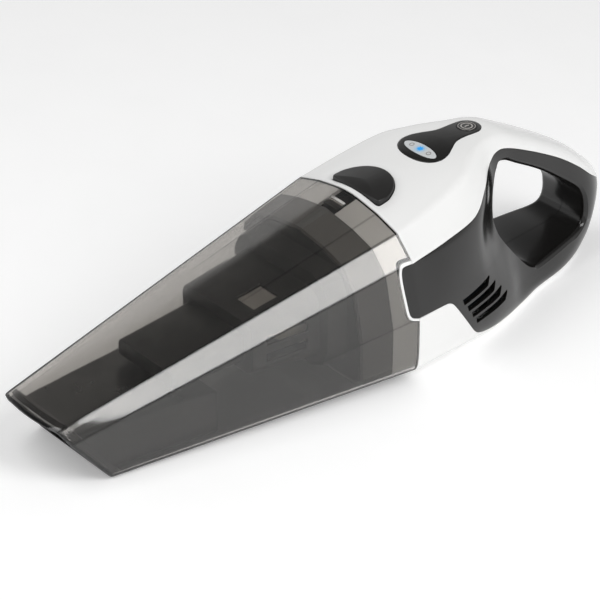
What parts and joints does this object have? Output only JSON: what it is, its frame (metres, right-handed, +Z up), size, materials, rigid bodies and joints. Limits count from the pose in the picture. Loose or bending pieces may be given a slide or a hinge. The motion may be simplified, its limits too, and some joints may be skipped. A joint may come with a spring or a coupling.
{
  "type": "handheld vacuum",
  "caption": "Cordless handheld vacuum with a tapered smoked dust bowl, white covers, dark side panels and a loop handle.",
  "frame": {"origin": "centre of the bounding box in X and Y, on the plane the vacuum rests on", "axes": "+Z up, +X to the right, the suction mouth towards -Y and the handle towards +Y"},
  "size_m": [0.1292, 0.422, 0.1115],
  "materials": {
    "smoked_plastic": "clear moulded plastic tinted smoke brown, polished",
    "white_plastic": "gloss white moulded plastic",
    "charcoal_plastic": "gloss charcoal moulded plastic",
    "black_plastic": "satin black moulded plastic",
    "grey_rubber": "soft grey seal",
    "black_rubber": "soft black rubber",
    "filter_paper": "pleated filter paper",
    "window_plastic": "pale grey translucent plastic",
    "blue_lamp": "clear lamp lit blue",
    "steel": "bright steel",
    "zinc_plated": "zinc plated steel",
    "motor_can": "bright motor can",
    "circuit_board": "green board",
    "cell_wrap": "battery cell in blue shrink wrap"
  },
  "bodies": {
    "housing": {"front_collar": "white_plastic", "top_cover": "white_plastic", "bottom_cover": "white_plastic", "right_side_panel": "charcoal_plastic", "left_side_panel": "charcoal_plastic", "housing_screw_1": "zinc_plated", "housing_screw_2": "zinc_plated", "housing_screw_3": "zinc_plated", "housing_screw_4": "zinc_plated", "control_panel": "charcoal_plastic", "status_window": "window_plastic", "light_board": "circuit_board", "status_lamp": "blue_lamp", "control_board": "circuit_board", "fan_housing": "black_plastic", "motor": "motor_can", "motor_mount_front": "black_rubber", "motor_mount_rear": "black_rubber", "battery_cell_1": "cell_wrap", "battery_cell_2": "cell_wrap", "battery_cell_3": "cell_wrap", "battery_holder": "black_plastic", "charge_socket": "black_plastic"},
    "bowl": {"dust_bowl": "smoked_plastic", "inlet_tunnel": "black_plastic"},
    "inlet_flap": {"inlet_flap": "black_rubber"},
    "filter": {"filter_frame": "black_plastic", "filter_nose": "black_plastic", "filter_medium": "filter_paper", "filter_gasket": "grey_rubber"},
    "release_latch": {"release_button": "black_plastic", "latch_hook": "black_plastic", "release_spring": "steel"},
    "power_button": {"power_button": "black_plastic"},
    "fan": {"fan_impeller": "charcoal_plastic", "motor_shaft": "steel"}
  },
  "joints": [
    {"name": "bowl_pull", "type": "slide", "parent": "housing", "child": "bowl", "axis": [0, -1, 0], "range_m": [0, 0.17]},
    {"name": "filter_pull", "type": "slide", "parent": "housing", "child": "filter", "axis": [0, -1, 0], "range_m": [0, 0.068]},
    {"name": "inlet_flap_swing", "type": "hinge", "parent": "bowl", "child": "inlet_flap", "pos_m": [0, -0.1081, 0.02984], "axis": [1, 0, 0], "range_deg": [0, 55], "stiffness_Nm_per_rad": 0.002},
    {"name": "release_press", "type": "slide", "parent": "housing", "child": "release_latch", "axis": [0, 0, -1], "range_m": [0, 0.003], "stiffness_N_per_m": 600},
    {"name": "power_press", "type": "slide", "parent": "housing", "child": "power_button", "axis": [0, 0, -1], "range_m": [0, 0.0008], "stiffness_N_per_m": 900},
    {"name": "fan_spin", "type": "hinge", "parent": "housing", "child": "fan", "pos_m": [0, 0.032, 0.0535], "axis": [0, 1, 0], "continuous": true}
  ],
  "couplings": [
    {"joint": "filter_pull", "follows": "bowl_pull", "ratio": 0.4}
  ]
}
